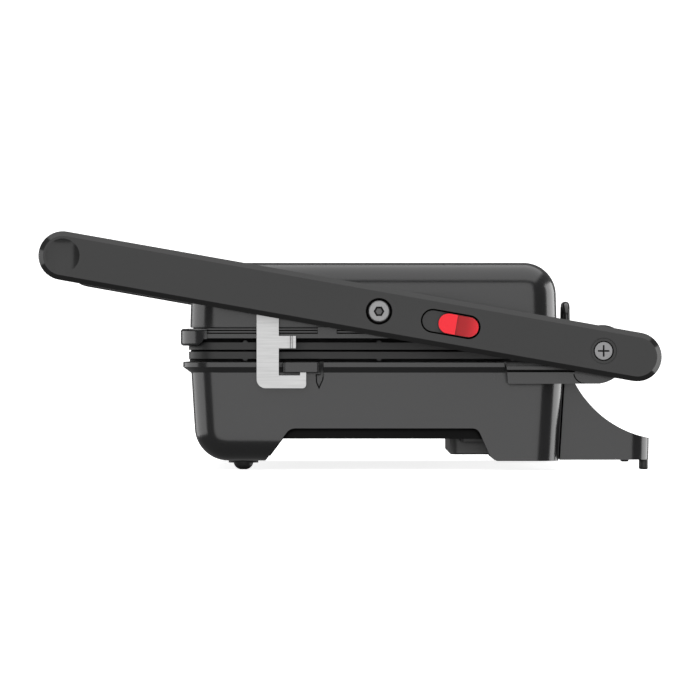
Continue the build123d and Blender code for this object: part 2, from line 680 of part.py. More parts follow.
def heating_element(z):
    """A sheathed U-shaped element with its two cold ends at the back."""
    with BuildPart() as element:
        with BuildLine() as path:
            FilletPolyline(
                (-ELEMENT_HALF, 78.0, z), (-ELEMENT_HALF, -56.0, z), (-24.0, -56.0, z),
                (-24.0, 50.0, z), (24.0, 50.0, z), (24.0, -56.0, z), (ELEMENT_HALF, -56.0, z),
                (ELEMENT_HALF, 78.0, z), radius=18.0,
            )
        with BuildSketch(Plane(origin=path.line @ 0, z_dir=path.line % 0)):
            Circle(ELEMENT_R)
        sweep()
    return element.part


with BuildPart() as lower_heating_element:
    add(heating_element(LOWER_BACK - ELEMENT_R))
lower_heating_element.part.label = "lower_heating_element"
export_step(lower_heating_element.part, "parts/lower_heating_element.step")

with BuildPart() as upper_heating_element:
    add(heating_element(UPPER_BACK + ELEMENT_R))
upper_heating_element.part.label = "upper_heating_element"
export_step(upper_heating_element.part, "parts/upper_heating_element.step")

SHIELD_SHEET = 0.8
SHIELD_GAP = 7.1              # from the plate's back to the shield
SPACERS = ((-96.0, -56.0), (96.0, -56.0), (-96.0, 70.0), (96.0, 70.0))


def heat_shield(back_z, away):
    """A sheet pan behind an element, on spacers. away is -1 below a plate and +1 above one."""
    near = back_z + away * SHIELD_GAP
    with BuildPart() as shield:
        extrude(plan(SHIELD_HALF, SHIELD_FRONT, SHIELD_REAR, 8.0, near), amount=away * SHIELD_SHEET)
        rim = plan(SHIELD_HALF, SHIELD_FRONT, SHIELD_REAR, 8.0, near)
        hole = plan(SHIELD_HALF - 1.2, SHIELD_FRONT + 1.2, SHIELD_REAR - 1.2, 6.8, near)
        extrude(rim - hole, amount=-away * 3.0)
        for x, y in SPACERS:
            with BuildSketch(Plane.XY.offset(near)):
                with Locations((x, y)):
                    Circle(4.0)
            extrude(amount=-away * SHIELD_GAP)
        for x, y in SPACERS:
            with BuildSketch(Plane.XY.offset(near + away * 2)):
                with Locations((x, y)):
                    Circle(SCREW_R + RUN_CLEARANCE)
            extrude(amount=-away * (SHIELD_GAP + 4), mode=Mode.SUBTRACT)
    return shield.part


def shield_screws(back_z, away):
    """The four screws through a shield's spacers."""
    near = back_z + away * (SHIELD_GAP + SHIELD_SHEET)
    with BuildPart() as screws:
        for x, y in SPACERS:
            with BuildSketch(Plane.XY.offset(near)):
                with Locations((x, y)):
                    Circle(3.6)
            extrude(amount=away * 2.0)
            with BuildSketch(Plane.XY.offset(near)):
                with Locations((x, y)):
                    Circle(SCREW_R)
            extrude(amount=-away * (SHIELD_GAP + SHIELD_SHEET))
    return screws.part


with BuildPart() as lower_heat_shield:
    add(heat_shield(LOWER_BACK, -1))
lower_heat_shield.part.label = "lower_heat_shield"
export_step(lower_heat_shield.part, "parts/lower_heat_shield.step")

with BuildPart() as upper_heat_shield:
    add(heat_shield(UPPER_BACK, 1))
upper_heat_shield.part.label = "upper_heat_shield"
export_step(upper_heat_shield.part, "parts/upper_heat_shield.step")

with BuildPart() as lower_shield_screws:
    add(shield_screws(LOWER_BACK, -1))
lower_shield_screws.part.label = "lower_shield_screws"
export_step(lower_shield_screws.part, "parts/lower_shield_screws.step")

with BuildPart() as upper_shield_screws:
    add(shield_screws(UPPER_BACK, 1))
upper_shield_screws.part.label = "upper_shield_screws"
export_step(upper_shield_screws.part, "parts/upper_shield_screws.step")

SHIELD_FACE = LOWER_BACK - SHIELD_GAP - SHIELD_SHEET

with BuildPart() as thermostat:
    with BuildSketch(Plane.XY.offset(SHIELD_FACE)):
        Circle(8.5)
    extrude(amount=-9.0)
    with BuildSketch(Plane.XY.offset(SHIELD_FACE)):
        SlotOverall(34.0, 8.0)
    extrude(amount=-1.0)
    with BuildSketch(Plane.XY.offset(SHIELD_FACE - 9.0)):
        with Locations((-5.0, 0), (5.0, 0)):
            Rectangle(1.0, 5.0)
    extrude(amount=-7.0)
thermostat.part.label = "thermostat"
export_step(thermostat.part, "parts/thermostat.step")

with BuildPart() as thermal_fuse:
    with BuildSketch(Plane(origin=(40.0, 10.0, SHIELD_FACE - 3.0), z_dir=(0, 1, 0))):
        Circle(3.0)
    extrude(amount=14.0)
    with BuildSketch(Plane(origin=(40.0, 0.0, SHIELD_FACE - 3.0), z_dir=(0, 1, 0))):
        Circle(0.7)
    extrude(amount=34.0)
thermal_fuse.part.label = "thermal_fuse"
export_step(thermal_fuse.part, "parts/thermal_fuse.step")

with BuildPart() as terminal_block:
    with Locations((-60.0, 92.0, COVER_Z + WALL + 6.0)):
        Box(30.0, 14.0, 12.0)
    with BuildSketch(Plane.XY.offset(COVER_Z + WALL + 12.0)):
        with Locations((-70.0, 92.0), (-60.0, 92.0), (-50.0, 92.0)):
            Circle(2.4)
    extrude(amount=-7.0, mode=Mode.SUBTRACT)
terminal_block.part.label = "terminal_block"
export_step(terminal_block.part, "parts/terminal_block.step")

with BuildPart() as grease_chute:
    with BuildSketch(Plane.XY.offset(COVER_Z - 0.4)):
        with Locations((0, CHUTE_Y)):
            Circle(CHUTE_R)
            Circle(CHUTE_R - 1.2, mode=Mode.SUBTRACT)
    extrude(amount=LOWER_BACK - COVER_Z + 0.4)
    with BuildSketch(Plane.XY.offset(COVER_Z + WALL)):
        with Locations((0, CHUTE_Y)):
            Circle(CHUTE_R + 3.0)
            Circle(CHUTE_R - 0.6, mode=Mode.SUBTRACT)
    extrude(amount=1.5)
grease_chute.part.label = "grease_chute"
export_step(grease_chute.part, "parts/grease_chute.step")

# ---- lid ------------------------------------------------------------------------------------


def lid_block(inset):
    """The lid's outer form, or its cavity when inset by the wall."""
    half = BODY_HALF - inset
    with BuildPart() as form:
        with BuildSketch(at_side(-half)):
            with BuildLine():
                Polyline(
                    (LID_FRONT + inset, LID_BOTTOM), (LID_FRONT + LID_DRAFT + inset, LID_TOP - inset),
                    (LID_REAR - LID_DRAFT - inset, LID_TOP - inset), (LID_REAR - inset, LID_BOTTOM),
                    close=True,
                )
            top = make_face().vertices().group_by(Axis.Y)[-1]
            fillet(top, LID_END_R - inset)
        extrude(amount=2 * half)
        for side in (0, -1):
            outline = form.faces().sort_by(Axis.X)[side].edges()
            fillet([e for e in outline if e.center().Z > LID_BOTTOM + 1], LID_SIDE_R - inset)
    return form.part


PIVOT_BOSS_R = 7.0
LENS_R = 3.0
LENS_XS = (-8.0, 8.0)
LENS_Y = -52.0
FLOAT_Y, FLOAT_Z = arm_point(FLOAT_AT)

with BuildPart() as lid_housing:
    add(lid_block(0.0))
    add(lid_block(WALL), mode=Mode.SUBTRACT)
    for side in (-1, 1):
        add(rod(side * (BODY_HALF - 11), side * (BODY_HALF - 1), FLOAT_Y, FLOAT_Z, PIVOT_BOSS_R))
        add(
            rod(side * (BODY_HALF - 12), side * (BODY_HALF + 1), FLOAT_Y, FLOAT_Z, SHAFT_R + RUN_CLEARANCE),
            mode=Mode.SUBTRACT,
        )
    for y in POST_YS:
        with BuildSketch(Plane.XY.offset(UPPER_BACK)):
            with Locations((-POST_X, y), (POST_X, y)):
                Circle(POST_R)
        extrude(amount=LID_TOP - WALL - UPPER_BACK + 0.5)
    with BuildSketch(Plane.XY.offset(LID_TOP + 1)):
        with Locations(*[(x, LENS_Y) for x in LENS_XS]):
            Circle(LENS_R)
    extrude(amount=-WALL - 3, mode=Mode.SUBTRACT)
lid_housing.part.label = "lid_housing"
export_step(lid_housing.part, "parts/lid_housing.step")

with BuildPart() as indicator_lenses:
    with BuildSketch(Plane.XY.offset(LID_TOP - WALL - 1.0)):
        with Locations(*[(x, LENS_Y) for x in LENS_XS]):
            Circle(LENS_R)
    extrude(amount=WALL + 1.0)
    with BuildSketch(Plane.XY.offset(LID_TOP - WALL - 1.0)):
        with Locations(*[(x, LENS_Y) for x in LENS_XS]):
            Circle(LENS_R + 1.2)
    extrude(amount=1.0)
indicator_lenses.part.label = "indicator_lenses"
export_step(indicator_lenses.part, "parts/indicator_lenses.step")

with BuildPart() as indicator_board:
    with Locations((0, LENS_Y, LID_TOP - WALL - 6.0)):
        Box(40.0, 16.0, 1.6)
    with BuildSketch(Plane.XY.offset(LID_TOP - WALL - 5.2)):
        with Locations(*[(x, LENS_Y) for x in LENS_XS]):
            Circle(1.5)
    extrude(amount=4.0)
indicator_board.part.label = "indicator_board"
export_step(indicator_board.part, "parts/indicator_board.step")

# the trim that closes the lid's underside round the upper plate
TRIM_FACE_TOP = 73.1
TRIM_TOP = LID_BOTTOM
TRIM_RIDGES = ((73.8, 74.6), (75.3, 76.0))   # z of the two ridges between the three grooves
TRIM_CORE = (129.8, -84.2, 108.2)            # half width, front and rear at the grooves' floor
TRIM_FRONT = -88.4
TRIM_REAR = 112.4
TRIM_IN = 124.0
VISOR_FRONT = -91.0
VISOR_HALF = 134.0
VISOR_ENDS = -76.5            # how far back its ends reach round the corners
VISOR_Z = (66.8, 75.9)
VISOR_SWEEP = ((-83.5, 66.8), (-78.2, TRIM_BOTTOM))   # where its lower edge sweeps up to the trim
BRIDGE_Y = (-17.2, -7.1)
GROMMET_X = 48.0
GROMMET_Z = 73.3
GROMMET_R = 4.2


def visor():
    """A lip along the trim's front that wraps round both corners."""
    with BuildPart() as lip:
        extrude(
            plan(VISOR_HALF, VISOR_FRONT, -VISOR_FRONT, 17.0, VISOR_Z[0]),
            amount=VISOR_Z[1] - VISOR_Z[0],
        )
        fillet(lip.faces().filter_by(Axis.Z).edges(), 1.6)
        extrude(
            plan(VISOR_HALF - 2.1, VISOR_FRONT + 4, -VISOR_FRONT, 15.2, VISOR_Z[0] - 1),
            amount=VISOR_Z[1] - VISOR_Z[0] + 2, mode=Mode.SUBTRACT,
        )
        with Locations((0, VISOR_ENDS + 100, VISOR_Z[1])):
            Box(2 * RIM_HALF + 4, 200, 40, mode=Mode.SUBTRACT)
        with BuildSketch(at_side(-RIM_HALF - 2)):
            with BuildLine():
                RadiusArc(VISOR_SWEEP[0], VISOR_SWEEP[1], -6.0)
                Polyline(
                    VISOR_SWEEP[1], (VISOR_ENDS + 2, VISOR_SWEEP[1][1]), (VISOR_ENDS + 2, VISOR_SWEEP[0][1] - 2),
                    (VISOR_SWEEP[0][0], VISOR_SWEEP[0][1] - 2), VISOR_SWEEP[0],
                )
            make_face()
        extrude(amount=2 * RIM_HALF + 4, mode=Mode.SUBTRACT)
    return lip.part


with BuildPart() as upper_trim:
    extrude(plan(RIM_HALF, TRIM_FRONT, TRIM_REAR, 16.0, TRIM_BOTTOM), amount=TRIM_FACE_TOP - TRIM_BOTTOM)
    fillet(upper_trim.faces().sort_by(Axis.Z)[0].edges(), 0.6)
    extrude(plan(*TRIM_CORE, 12.0, TRIM_FACE_TOP), amount=TRIM_TOP - TRIM_FACE_TOP)
    for low, high in TRIM_RIDGES:
        extrude(plan(RIM_HALF - 0.8, TRIM_FRONT + 0.8, TRIM_REAR - 0.8, 15.2, low), amount=high - low)
    # the visor over the plates' front edge
    add(visor())
    # a bridge across the grooves on each side
    for side in (-1, 1):
        with Locations((side * (RIM_HALF - 2.0), sum(BRIDGE_Y) / 2, (TRIM_FACE_TOP + TRIM_TOP) / 2)):
            Box(4.0, BRIDGE_Y[1] - BRIDGE_Y[0], TRIM_TOP - TRIM_FACE_TOP)
    extrude(
        plan(TRIM_IN, -81.0, 104.0, 12.0, TRIM_BOTTOM - 1), amount=TRIM_TOP - TRIM_BOTTOM + 2,
        mode=Mode.SUBTRACT,
    )
    with BuildSketch(Plane(origin=(GROMMET_X, TRIM_REAR + 1, GROMMET_Z), z_dir=(0, 1, 0))):
        Circle(GROMMET_R - 1.0)
    extrude(amount=-12.0, mode=Mode.SUBTRACT)
upper_trim.part.label = "upper_trim"
export_step(upper_trim.part, "parts/upper_trim.step")

# ---- arms -----------------------------------------------------------------------------------

GRIP_CAP_R = 9.1
GRIP_CAP_IN = 150.0
DISH_R = 28.0
DISH_DEPTH = 1.5
GRIP_Y, GRIP_Z = arm_point(ARM_FRONT)
SLOT_LENGTH = 32.0
SLOT_HEIGHT = 12.8
SLOT_FLOOR = 151.2            # bottom of the groove round the slot, and of the screw's recess
SLOT_STEP = 153.3             # the flat that the slider rides over
SLOT_TAPER = 22.0             # degrees, of the groove's inner wall
STEM_SLOT = (14.6, 3.4)
STEM_SLOT_AT = SLOT_AT + 6.0
HEX_HEAD_R = 6.5
HEX_RECESS_R = 7.07
LATCH_Y, LATCH_Z = arm_point(LATCH_PIVOT_AT)
RIVET_R = 2.5


def arm_shell(with_lock):
    """The right-hand arm, open on its inner side. Only one arm carries the lock and the latch."""
    inner = ARM_INNER + ARM_COVER
    with BuildPart() as shell:
        extrude(arm_slot(inner, ARM_HALF), amount=ARM_OUTER - inner)
        chamfer(shell.faces().sort_by(Axis.X)[-1].edges(), ARM_BEVEL)
        extrude(
            arm_slot(inner, ARM_HALF, ARM_WALL), amount=ARM_OUTER - ARM_WALL - inner,
            mode=Mode.SUBTRACT,
        )
        # bosses at the hinge, the lid pivot and the grip
        for along, radius in ((0.0, 10.0), (FLOAT_AT, 9.5), (ARM_FRONT, 10.2)):
            add(rod(inner, ARM_OUTER - 1.0, *arm_point(along), radius))
        # bored for the hinge bush, with a shallow step round the screw's head
        add(rod(inner - 1, HINGE_HEAD_X[0] - 0.2, HINGE_Y, HINGE_Z, BUSH_R), mode=Mode.SUBTRACT)
        add(
            rod(HINGE_HEAD_X[0] - 0.3, ARM_OUTER + 1, HINGE_Y, HINGE_Z, HINGE_HEAD_R + 0.35),
            mode=Mode.SUBTRACT,
        )
        with BuildSketch(at_side(ARM_OUTER)):
            with Locations((HINGE_Y, HINGE_Z)):
                Circle(RECESS_R)
        extrude(amount=-HEAD_STEP, mode=Mode.SUBTRACT)
        # the lid pivot's bore and the recess for its head
        add(rod(inner - 1, ARM_OUTER, FLOAT_Y, FLOAT_Z, SHAFT_R), mode=Mode.SUBTRACT)
        add(rod(SLOT_FLOOR, ARM_OUTER + 1, FLOAT_Y, FLOAT_Z, HEX_RECESS_R), mode=Mode.SUBTRACT)
        # the grip rod's bore and the seat of its end cap
        add(rod(inner - 1, ARM_OUTER, GRIP_Y, GRIP_Z, SHAFT_R), mode=Mode.SUBTRACT)
        add(rod(GRIP_CAP_IN, ARM_OUTER + 1, GRIP_Y, GRIP_Z, GRIP_CAP_R), mode=Mode.SUBTRACT)
        if with_lock:
            with BuildSketch(on_arm(SLOT_FLOOR - 2.0)):
                with Locations((SLOT_AT, 0)):
                    SlotOverall(SLOT_LENGTH + 4, SLOT_HEIGHT + 4)
            extrude(amount=3.6)
            with BuildSketch(on_arm(SLOT_FLOOR)):
                with Locations((SLOT_AT, 0)):
                    SlotOverall(SLOT_LENGTH, SLOT_HEIGHT)
            extrude(amount=ARM_OUTER, mode=Mode.SUBTRACT)
            with BuildSketch(on_arm(SLOT_FLOOR)):
                with Locations((SLOT_AT, 0)):
                    SlotOverall(SLOT_LENGTH, SLOT_HEIGHT)
            extrude(amount=SLOT_STEP - SLOT_FLOOR, taper=SLOT_TAPER)
            with BuildSketch(on_arm(SLOT_FLOOR - 4)):
                with Locations((STEM_SLOT_AT, 0)):
                    SlotOverall(*STEM_SLOT)
            extrude(amount=8.0, mode=Mode.SUBTRACT)
    return shell.part


with BuildPart() as right_arm:
    add(arm_shell(True))
right_arm.part.label = "right_arm"
export_step(right_arm.part, "parts/right_arm.step")

with BuildPart() as left_arm:
    mirror(arm_shell(False), about=Plane.YZ)
left_arm.part.label = "left_arm"
export_step(left_arm.part, "parts/left_arm.step")


def arm_cover(with_latch):
    """The plate that closes the right-hand arm's inner side."""
    with BuildPart() as plate:
        extrude(arm_slot(ARM_INNER, ARM_HALF), amount=ARM_COVER)
        fillet(plate.faces().sort_by(Axis.X)[0].edges(), 0.8)
        add(rod(ARM_INNER - 1, ARM_INNER + 4, HINGE_Y, HINGE_Z, BUSH_R), mode=Mode.SUBTRACT)
        add(rod(ARM_INNER - 1, ARM_INNER + 4, FLOAT_Y, FLOAT_Z, SHAFT_R), mode=Mode.SUBTRACT)
        add(rod(ARM_INNER - 1, ARM_INNER + 4, GRIP_Y, GRIP_Z, SHAFT_R), mode=Mode.SUBTRACT)
        if with_latch:
            add(rod(ARM_INNER - 1, ARM_INNER + 4, LATCH_Y, LATCH_Z, RIVET_R), mode=Mode.SUBTRACT)
    return plate.part


with BuildPart() as right_arm_cover:
    add(arm_cover(True))
right_arm_cover.part.label = "right_arm_cover"
export_step(right_arm_cover.part, "parts/right_arm_cover.step")

with BuildPart() as left_arm_cover:
    mirror(arm_cover(False), about=Plane.YZ)
left_arm_cover.part.label = "left_arm_cover"
export_step(left_arm_cover.part, "parts/left_arm_cover.step")

with BuildPart() as hinge_bushes:
    add(rod(ARM_INNER - 0.4, HINGE_HEAD_X[0] - 0.2, HINGE_Y, HINGE_Z, BUSH_R))
    add(rod(ARM_INNER - 1, ARM_OUTER, HINGE_Y, HINGE_Z, SHAFT_R + RUN_CLEARANCE), mode=Mode.SUBTRACT)
    mirror(about=Plane.YZ)
hinge_bushes.part.label = "hinge_bushes"
export_step(hinge_bushes.part, "parts/hinge_bushes.step")

with BuildPart() as float_pivot_screws:
    add(rod(BODY_HALF - 11, SLOT_FLOOR, FLOAT_Y, FLOAT_Z, SHAFT_R))
    add(rod(SLOT_FLOOR, ARM_OUTER - 0.6, FLOAT_Y, FLOAT_Z, HEX_HEAD_R))
    fillet(float_pivot_screws.faces().sort_by(Axis.X)[-1].edges(), 1.8)
    with BuildSketch(at_side(ARM_OUTER - 0.6)):
        with Locations((FLOAT_Y, FLOAT_Z)):
            RegularPolygon(2.5, 6, major_radius=False)
    extrude(amount=-3.0, taper=18, mode=Mode.SUBTRACT)
    mirror(about=Plane.YZ)
float_pivot_screws.part.label = "float_pivot_screws"
export_step(float_pivot_screws.part, "parts/float_pivot_screws.step")

with BuildPart() as float_pivot_bushes:
    add(rod(BODY_HALF + 0.3, ARM_INNER, FLOAT_Y, FLOAT_Z, BUSH_R))
    add(rod(BODY_HALF, ARM_INNER + 1, FLOAT_Y, FLOAT_Z, SHAFT_R), mode=Mode.SUBTRACT)
    mirror(about=Plane.YZ)
float_pivot_bushes.part.label = "float_pivot_bushes"
export_step(float_pivot_bushes.part, "parts/float_pivot_bushes.step")

# ---- grip -----------------------------------------------------------------------------------

GRIP_END_R = 10.0
GRIP_MIDDLE_R = 11.8

with BuildPart() as grip_sleeve:
    with BuildSketch(Plane(origin=(0, GRIP_Y, GRIP_Z), x_dir=(1, 0, 0), z_dir=(0, -1, 0))):
        with BuildLine():
            Polyline(
                (-ARM_INNER, GRIP_END_R), (-ARM_INNER, SHAFT_R), (ARM_INNER, SHAFT_R),
                (ARM_INNER, GRIP_END_R),
            )
            ThreePointArc((ARM_INNER, GRIP_END_R), (0, GRIP_MIDDLE_R), (-ARM_INNER, GRIP_END_R))
        make_face()
    revolve(axis=Axis((0, GRIP_Y, GRIP_Z), (1, 0, 0)))
grip_sleeve.part.label = "grip_sleeve"
export_step(grip_sleeve.part, "parts/grip_sleeve.step")

with BuildPart() as grip_rod:
    add(rod(-GRIP_CAP_IN, GRIP_CAP_IN, GRIP_Y, GRIP_Z, SHAFT_R))
grip_rod.part.label = "grip_rod"
export_step(grip_rod.part, "parts/grip_rod.step")

with BuildPart() as grip_end_caps:
    add(rod(GRIP_CAP_IN, ARM_OUTER, GRIP_Y, GRIP_Z, GRIP_CAP_R))
    with Locations((ARM_OUTER - DISH_DEPTH + DISH_R, GRIP_Y, GRIP_Z)):
        Sphere(DISH_R, mode=Mode.SUBTRACT)
    mirror(about=Plane.YZ)
grip_end_caps.part.label = "grip_end_caps"
export_step(grip_end_caps.part, "parts/grip_end_caps.step")

# ---- lock slider on the right arm -----------------------------------------------------------

SLIDER_LENGTH = 21.4
SLIDER_HEIGHT = 10.6
SLIDER_REAR = SLOT_AT + SLOT_LENGTH / 2 - 1.1
SLIDER_AT = SLIDER_REAR - SLIDER_LENGTH / 2
SLIDER_PAD = 9.5              # the raised front part of the button
SLIDER_BOTTOM = 153.5
SLIDER_LOW = 154.1            # bottom of the thumb dish
SLIDER_HIGH = 155.9
SLIDER_DISH_R = 46.0
STEM_LENGTH = 6.0

with BuildPart() as lock_slider:
    with BuildSketch(on_arm(SLIDER_BOTTOM)):
        with Locations((SLIDER_AT, 0)):
            SlotOverall(SLIDER_LENGTH, SLIDER_HEIGHT)
    extrude(amount=SLIDER_HIGH - SLIDER_BOTTOM)
    # the thumb dish behind the front pad is deepest at its step
    step_at = SLIDER_REAR - SLIDER_LENGTH + SLIDER_PAD
    with BuildSketch(Plane(origin=on_arm(0).origin, x_dir=on_arm(0).x_dir, z_dir=on_arm(0).y_dir)) as side:
        with BuildLine():
            Polyline(
                (SLIDER_REAR + 2, -SLIDER_HIGH - 2), (step_at, -SLIDER_HIGH - 2), (step_at, -SLIDER_LOW),
            )
            RadiusArc((step_at, -SLIDER_LOW), (SLIDER_REAR, 0.7 - SLIDER_HIGH), SLIDER_DISH_R)
            Polyline((SLIDER_REAR, 0.7 - SLIDER_HIGH), (SLIDER_REAR + 2, 0.7 - SLIDER_HIGH),
                     (SLIDER_REAR + 2, -SLIDER_HIGH - 2))
        make_face()
    extrude(amount=SLIDER_HEIGHT, both=True, mode=Mode.SUBTRACT)
    with BuildSketch(on_arm(SLOT_FLOOR - 5.0)):
        with Locations((STEM_SLOT_AT + STEM_SLOT[0] / 2 - STEM_LENGTH / 2 - 0.5, 0)):
            SlotOverall(STEM_LENGTH, STEM_SLOT[1] - 0.6)
    extrude(amount=SLIDER_BOTTOM - SLOT_FLOOR + 5.5)
lock_slider.part.label = "lock_slider"
export_step(lock_slider.part, "parts/lock_slider.step")

# ---- latch on the right side ----------------------------------------------------------------

LATCH_BAR = (-49.8, -38.0)
LATCH_FOOT = (44.1, 50.9)
LATCH_TIP = (-26.6, -23.4)
LATCH_TAB = (65.4, 72.0)
TAB_END = -28.8
TAB_OUT = 146.0
TAB_BEND_R = 2.2

with BuildPart() as latch:
    middle = (LATCH_BAR[0] + LATCH_BAR[1]) / 2
    tip_top = CATCH_BOTTOM - LATCH_GAP
    with BuildSketch(at_side(LATCH_IN)):
        with BuildLine():
            Polyline(
                (LATCH_BAR[0], LATCH_Z), (LATCH_BAR[0], LATCH_FOOT[0]), (LATCH_TIP[1], LATCH_FOOT[0]),
                (LATCH_TIP[1], tip_top), (LATCH_TIP[0], tip_top), (LATCH_TIP[0], LATCH_FOOT[1]),
                (LATCH_BAR[1], LATCH_FOOT[1]), (LATCH_BAR[1], LATCH_Z),
            )
            ThreePointArc(
                (LATCH_BAR[1], LATCH_Z), (middle, LATCH_Z + (LATCH_BAR[1] - LATCH_BAR[0]) / 2),
                (LATCH_BAR[0], LATCH_Z),
            )
        face = make_face()
        low = face.vertices().group_by(Axis.Y)[0].sort_by(Axis.X)
        face = fillet(low[0], 4.8)
        low = face.vertices().group_by(Axis.Y)[0].sort_by(Axis.X)
        fillet(low[-1], 1.9)
    extrude(amount=LATCH_SHEET)
    # the finger tab runs back and is bent outwards
    outside = LATCH_IN + LATCH_SHEET
    bend_start = TAB_END - TAB_BEND_R - LATCH_SHEET
    with BuildSketch(Plane.XY.offset(LATCH_TAB[0])):
        with BuildLine():
            Line((LATCH_IN, LATCH_BAR[1] - 2), (LATCH_IN, bend_start))
            RadiusArc(
                (LATCH_IN, bend_start), (outside + TAB_BEND_R, TAB_END), TAB_BEND_R + LATCH_SHEET
            )
            Polyline(
                (outside + TAB_BEND_R, TAB_END), (TAB_OUT, TAB_END), (TAB_OUT, TAB_END - LATCH_SHEET),
                (outside + TAB_BEND_R, TAB_END - LATCH_SHEET),
            )
            RadiusArc((outside + TAB_BEND_R, TAB_END - LATCH_SHEET), (outside, bend_start), -TAB_BEND_R)
            Polyline((outside, bend_start), (outside, LATCH_BAR[1] - 2), (LATCH_IN, LATCH_BAR[1] - 2))
        make_face()
    extrude(amount=LATCH_TAB[1] - LATCH_TAB[0])
    add(rod(LATCH_IN - 1, ARM_INNER, LATCH_Y, LATCH_Z, RIVET_R + RUN_CLEARANCE), mode=Mode.SUBTRACT)
latch.part.label = "latch"
export_step(latch.part, "parts/latch.step")

with BuildPart() as latch_rivet:
    add(rod(LATCH_IN - 0.2, ARM_INNER + 2.0, LATCH_Y, LATCH_Z, RIVET_R))
    add(rod(LATCH_IN - 1.4, LATCH_IN - 0.2, LATCH_Y, LATCH_Z, 4.6))
latch_rivet.part.label = "latch_rivet"
export_step(latch_rivet.part, "parts/latch_rivet.step")

with BuildPart() as latch_washer:
    add(rod(LATCH_IN + LATCH_SHEET + 0.2, ARM_INNER, LATCH_Y, LATCH_Z, 5.0))
    add(rod(LATCH_IN, ARM_INNER + 1, LATCH_Y, LATCH_Z, RIVET_R), mode=Mode.SUBTRACT)
latch_washer.part.label = "latch_washer"
export_step(latch_washer.part, "parts/latch_washer.step")

# ---- wiring conduit behind the lid ----------------------------------------------------------

CONDUIT_ROUTE = (
    (HINGE_BLOCK_IN + 8, HINGE_Y, HINGE_Z),
    (HINGE_BLOCK_IN - 12, HINGE_Y, HINGE_Z),
    (91.0, 122.5, 66.0),
    (85.5, 117.8, 75.0),
    (82.0, 117.7, 89.0),
    (50.0, 117.7, 89.0),
    (GROMMET_X, 117.7, GROMMET_Z),
    (GROMMET_X, 106.5, GROMMET_Z),
)


def bend_radii(route):
    """The largest radius that each inner point's two runs allow."""
    radii = []
    for before, here, after in zip(route, route[1:], route[2:]):
        run_in = Vector(*here) - Vector(*before)
        run_out = Vector(*after) - Vector(*here)
        half_turn = radians(run_in.get_angle(run_out) / 2)
        radii.append(0.45 * min(run_in.length, run_out.length) / tan(half_turn))
    return radii


conduit_radii = bend_radii(CONDUIT_ROUTE)
print("conduit radii", [round(r, 1) for r in conduit_radii])

with BuildPart() as wiring_conduit:
    with BuildLine() as conduit_path:
        FilletPolyline(*CONDUIT_ROUTE, radius=conduit_radii)
    with BuildSketch(Plane(origin=conduit_path.line @ 0, z_dir=conduit_path.line % 0)):
        Circle(CONDUIT_R)
    sweep()
wiring_conduit.part.label = "wiring_conduit"
export_step(wiring_conduit.part, "parts/wiring_conduit.step")

with BuildPart() as conduit_grommet:
    with BuildSketch(Plane(origin=(GROMMET_X, TRIM_REAR, GROMMET_Z), z_dir=(0, 1, 0))):
        Circle(GROMMET_R)
        Circle(CONDUIT_R + 0.8, mode=Mode.SUBTRACT)
    extrude(amount=1.6)
    with BuildSketch(Plane(origin=(GROMMET_X, TRIM_REAR, GROMMET_Z), z_dir=(0, 1, 0))):
        Circle(GROMMET_R - 1.0)
        Circle(CONDUIT_R + 0.8, mode=Mode.SUBTRACT)
    extrude(amount=-8.0)
conduit_grommet.part.label = "conduit_grommet"
export_step(conduit_grommet.part, "parts/conduit_grommet.step")
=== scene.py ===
"""Looks of the panini press: camera, materials and studio, in metres."""
import json
import math

import bpy
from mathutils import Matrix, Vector


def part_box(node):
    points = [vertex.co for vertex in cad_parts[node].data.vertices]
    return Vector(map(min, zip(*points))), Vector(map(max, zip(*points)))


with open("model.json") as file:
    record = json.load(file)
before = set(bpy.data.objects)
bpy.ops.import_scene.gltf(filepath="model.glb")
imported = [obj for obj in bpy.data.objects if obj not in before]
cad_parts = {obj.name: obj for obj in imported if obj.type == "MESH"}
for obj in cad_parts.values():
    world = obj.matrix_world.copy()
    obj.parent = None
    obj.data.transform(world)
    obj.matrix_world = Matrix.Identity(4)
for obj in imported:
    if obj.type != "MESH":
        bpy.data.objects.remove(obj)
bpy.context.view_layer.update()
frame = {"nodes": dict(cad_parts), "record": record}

# ---- camera ---------------------------------------------------------------------------------

CAMERA_DISTANCE = 2.70        # from the near arm's face
CAMERA_HEIGHT = 0.0645        # level with the hinge
SENSOR = 36.0
FRAME_WIDTH = 0.371           # what the frame spans at the arm's face
SIDEWAYS = (math.radians(90), 0.0, math.radians(90))
FARTHEST = 20.0

arm_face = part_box("right_arm")[1].x
camera_data = bpy.data.cameras.new("camera")
camera_data.sensor_width = SENSOR
camera_data.lens = SENSOR * CAMERA_DISTANCE / FRAME_WIDTH
camera_data.clip_end = FARTHEST
camera = bpy.data.objects.new("camera", camera_data)
camera.location = (arm_face + CAMERA_DISTANCE, 0.0, CAMERA_HEIGHT)
camera.rotation_euler = SIDEWAYS
bpy.context.scene.collection.objects.link(camera)
bpy.context.scene.camera = camera
bpy.context.scene.view_settings.view_transform = "Standard"


# ---- shader helpers -------------------------------------------------------------------------

def new_material(name, roughness, metallic=0.0, specular=0.5):
    """A principled material, with its node tree and its shader."""
    material = bpy.data.materials.new(name)
    material.use_nodes = True
    shader = material.node_tree.nodes["Principled BSDF"]
    shader.inputs["Roughness"].default_value = roughness
    shader.inputs["Metallic"].default_value = metallic
    shader.inputs["Specular IOR Level"].default_value = specular
    return material, material.node_tree, shader


def shaded(colour, share):
    """A colour made darker or lighter."""
    return tuple(c * share for c in colour)


def grey(level):
    """A neutral colour."""
    return (level, level, level)


def around(value, spread):
    """The range of a given width with the value in its middle."""
    return (value - spread / 2, value + spread / 2)


